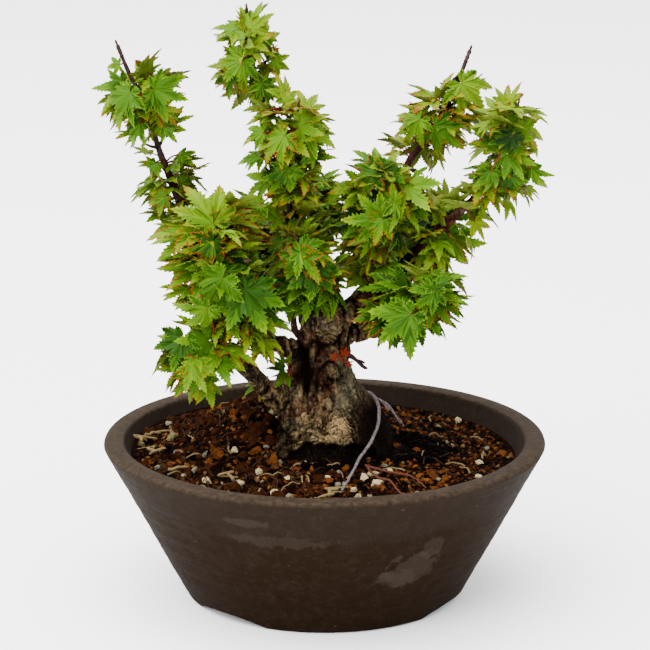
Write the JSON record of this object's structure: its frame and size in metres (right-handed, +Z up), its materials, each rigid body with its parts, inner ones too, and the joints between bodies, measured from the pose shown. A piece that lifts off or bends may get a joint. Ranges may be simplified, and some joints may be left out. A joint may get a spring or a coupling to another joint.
{
  "type": "potted bonsai maple",
  "caption": "Small maple bonsai with a gnarled trunk, upright shoots and lobed green leaves, planted in a round footed stoneware pot.",
  "frame": {"origin": "on the pot's axis, in the plane its feet stand on", "axes": "+Z up along the pot's axis, -Y towards the front of the tree, +X to the right as seen from the front"},
  "size_m": [0.15, 0.15, 0.1993],
  "materials": {
    "stoneware": "unglazed, matte",
    "soil": "loose baked-clay grains",
    "bark": "rough bark",
    "young_bark": "smooth young bark",
    "leaves": "soft satin leaf"
  },
  "bodies": {
    "root": {"bough_back_left": "bark", "bough_back_right": "bark", "bough_centre": "bark", "bough_left": "bark", "bough_left_arm": "young_bark", "bough_right": "bark", "bough_right_arm": "young_bark", "bough_right_centre": "young_bark", "bough_right_low": "bark", "bough_top": "young_bark", "dead_spur": "young_bark", "foliage_back_centre": "leaves", "foliage_back_left": "leaves", "foliage_back_right": "leaves", "foliage_centre": "leaves", "foliage_centre_tall": "leaves", "foliage_left": "leaves", "foliage_left_arm": "leaves", "foliage_left_low": "leaves", "foliage_left_tip": "leaves", "foliage_right": "leaves", "foliage_right_arm": "leaves", "foliage_right_centre": "leaves", "foliage_right_low": "leaves", "foliage_right_tip": "leaves", "foliage_top": "leaves", "pot": "stoneware", "soil": "soil", "sprout_left": "young_bark", "stub_low_left": "bark", "stub_right": "young_bark", "surface_root": "bark", "trunk": "bark"}
  },
  "joints": []
}
